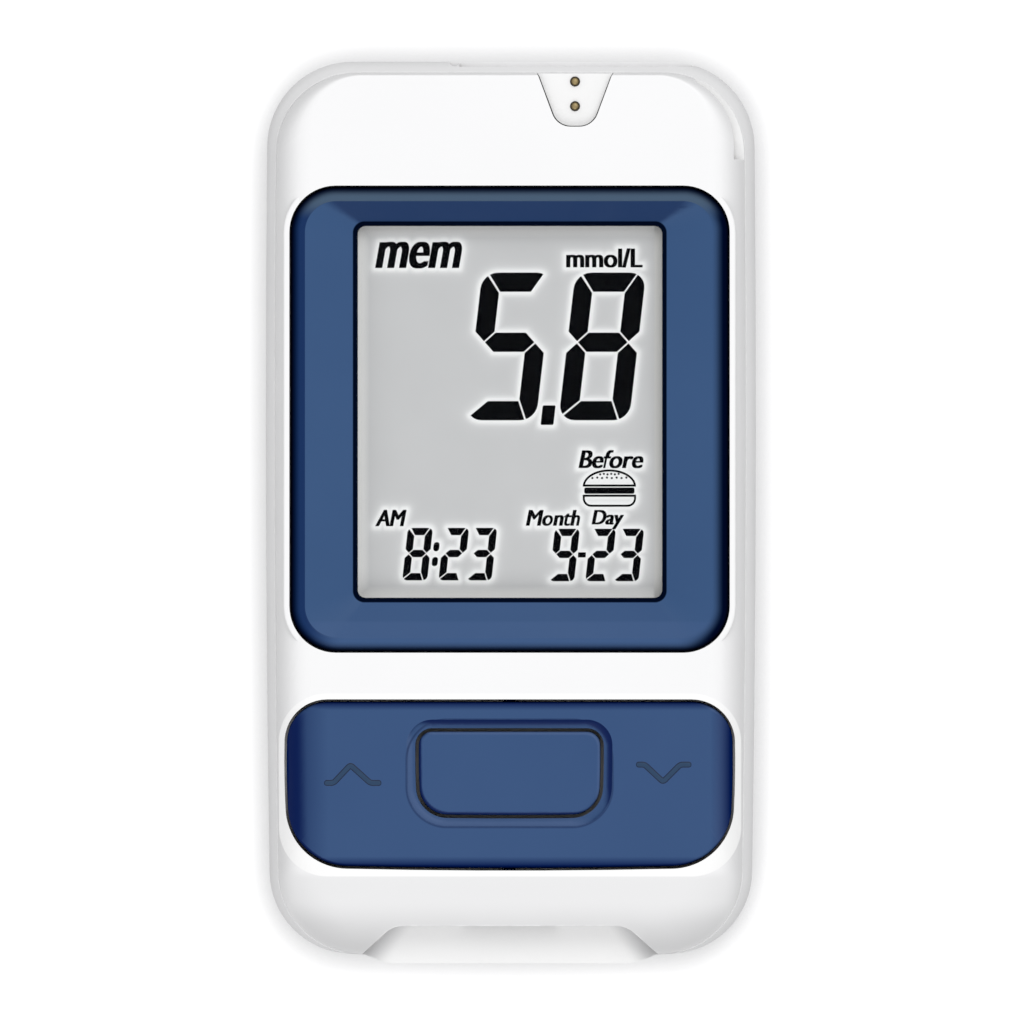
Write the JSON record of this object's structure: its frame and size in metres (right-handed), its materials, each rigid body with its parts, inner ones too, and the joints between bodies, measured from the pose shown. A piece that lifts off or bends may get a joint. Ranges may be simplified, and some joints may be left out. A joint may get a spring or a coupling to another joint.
{
  "type": "blood glucose meter",
  "caption": "Pocket glucose meter: rounded white casing, sunk display in a blue bezel, blue rocker key with main button, strip port, data pins, battery cover.",
  "frame": {"origin": "centre of the footprint, on the ground under the back face", "axes": "+Z out of the display, +Y towards the data port, -Y towards the strip port"},
  "size_m": [0.0504, 0.093, 0.0156],
  "materials": {
    "casing_white": "white moulded plastic, satin gloss",
    "bezel_blue": "navy blue moulded plastic, satin",
    "key_blue": "navy blue moulded plastic, fine matt grain",
    "lens_clear": "clear acrylic window",
    "cell_glass": "display cell glass",
    "film_grey": "polarizing film",
    "film_silver": "reflective film, silver grey",
    "holder_white": "white moulded frame",
    "elastomer_pink": "silicone strip with conductive layers",
    "board_green": "green solder mask on glass-fibre board",
    "chip_black": "black moulded resin",
    "connector_black": "black moulded connector plastic",
    "plunger_tan": "light brown plunger",
    "insert_white": "white moulded plastic, matt",
    "contact_gold": "gold-plated contact metal",
    "spring_nickel": "nickel-plated spring strip",
    "can_steel": "bright steel can",
    "screw_steel": "steel, zinc-plated"
  },
  "bodies": {
    "casing": {"front_casing": "casing_white", "rear_casing": "casing_white", "display_bezel": "bezel_blue", "display_lens": "lens_clear", "lcd_front_glass": "cell_glass", "lcd_rear_glass": "cell_glass", "lcd_polarizer": "film_grey", "lcd_reflector": "film_silver", "lcd_holder": "holder_white", "lcd_connector_strip": "elastomer_pink", "main_board": "board_green", "controller_chip": "chip_black", "memory_chip": "chip_black", "front_end_chip": "chip_black", "crystal": "can_steel", "buzzer": "chip_black", "switch_housing_left": "connector_black", "switch_housing_centre": "connector_black", "switch_housing_right": "connector_black", "strip_connector_housing": "connector_black", "strip_contact_1": "contact_gold", "strip_contact_2": "contact_gold", "strip_contact_3": "contact_gold", "strip_contact_4": "contact_gold", "strip_contact_5": "contact_gold", "data_port_insert": "insert_white", "data_pin_lower": "contact_gold", "data_pin_upper": "contact_gold", "coin_cell_left": "can_steel", "coin_cell_right": "can_steel", "cell_contact_left": "spring_nickel", "cell_contact_right": "spring_nickel", "rim_contact_left": "spring_nickel", "rim_contact_right": "spring_nickel", "casing_screw_1": "screw_steel", "casing_screw_2": "screw_steel", "casing_screw_3": "screw_steel", "casing_screw_4": "screw_steel"},
    "rocker": {"rocker_key": "key_blue", "switch_plunger_left": "plunger_tan", "switch_plunger_right": "plunger_tan"},
    "button": {"main_button": "key_blue", "switch_plunger_centre": "plunger_tan"},
    "cover": {"battery_cover": "casing_white"}
  },
  "joints": [
    {"name": "button_press", "type": "slide", "parent": "casing", "child": "button", "axis": [0, 0, -1], "range_m": [0, 0.0003], "stiffness_N_per_m": 800},
    {"name": "rocker_tilt", "type": "hinge", "parent": "casing", "child": "rocker", "pos_m": [0, -0.02685, 0.0142], "axis": [0, 1, 0], "range_deg": [-1.2, 1.2], "stiffness_Nm_per_rad": 0.3},
    {"name": "cover_tilt", "type": "hinge", "parent": "casing", "child": "cover", "pos_m": [0, 0.0186, 0], "axis": [1, 0, 0], "range_deg": [0, 40]}
  ]
}
